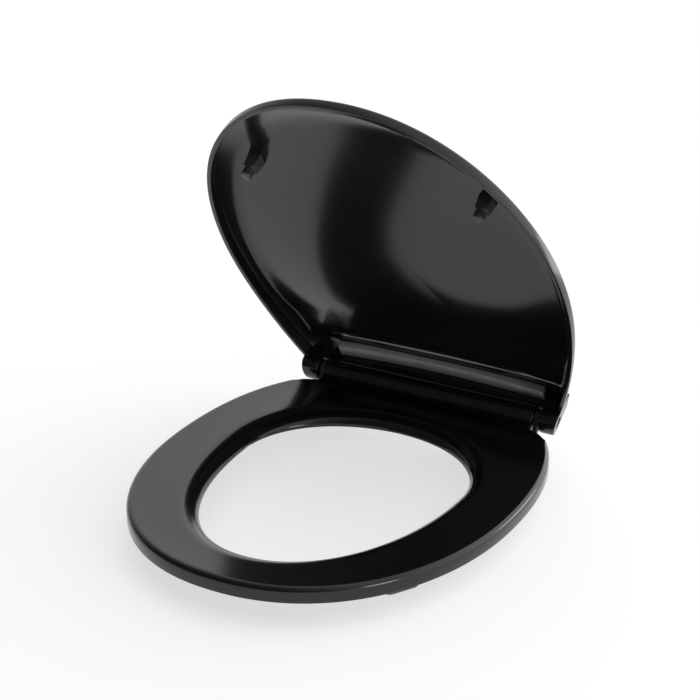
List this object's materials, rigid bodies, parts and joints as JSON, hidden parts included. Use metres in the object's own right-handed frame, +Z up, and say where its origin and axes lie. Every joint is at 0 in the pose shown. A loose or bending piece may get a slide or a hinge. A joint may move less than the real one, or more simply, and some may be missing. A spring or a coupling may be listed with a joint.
{
  "type": "toilet seat",
  "caption": "Hinged toilet seat ring with a domed lid, gloss black, on two hinge brackets held to the pan by top-fixed screws and expanding plugs.",
  "frame": {"origin": "midway between the two fixing screws, on the top face of the pan's rim, which is the plane the bracket gaskets and the seat's pads stand on", "axes": "+X across the seat to its right, parallel to the hinge axis; +Y to the back, from the bowl opening to the hinge; +Z up, away from the pan"},
  "size_m": [0.377, 0.4588, 0.4091],
  "materials": {
    "gloss_black": "high gloss moulded black",
    "black_rubber": "matt soft rubber",
    "black_nylon": "matt moulded",
    "stainless_steel": "brushed"
  },
  "bodies": {
    "fixings": {"hinge_bracket_left": "black_nylon", "hinge_bracket_right": "black_nylon", "hinge_pin_left": "stainless_steel", "hinge_pin_right": "stainless_steel", "bracket_gasket_left": "black_rubber", "bracket_gasket_right": "black_rubber", "fixing_screw_left": "stainless_steel", "fixing_screw_right": "stainless_steel", "screw_washer_left": "stainless_steel", "screw_washer_right": "stainless_steel", "expanding_plug_left": "black_rubber", "expanding_plug_right": "black_rubber", "plug_nut_left": "stainless_steel", "plug_nut_right": "stainless_steel"},
    "seat": {"seat_ring": "gloss_black", "seat_buffer_front_left": "black_rubber", "seat_buffer_front_right": "black_rubber", "seat_buffer_rear_left": "black_rubber", "seat_buffer_rear_right": "black_rubber", "seat_bush_left": "black_nylon", "seat_bush_right": "black_nylon"},
    "lid": {"lid": "gloss_black", "lid_buffer_left": "black_rubber", "lid_buffer_right": "black_rubber", "lid_bush_left": "black_nylon", "lid_bush_right": "black_nylon", "pin_cap_left": "gloss_black", "pin_cap_right": "gloss_black"}
  },
  "joints": [
    {"name": "seat_hinge", "type": "hinge", "parent": "fixings", "child": "seat", "pos_m": [0, 0.024, 0.0256], "axis": [-1, 0, 0], "range_deg": [0, 95]},
    {"name": "lid_hinge", "type": "hinge", "parent": "seat", "child": "lid", "pos_m": [0, 0.024, 0.0256], "axis": [-1, 0, 0], "range_deg": [-59.4, 35.6]}
  ]
}
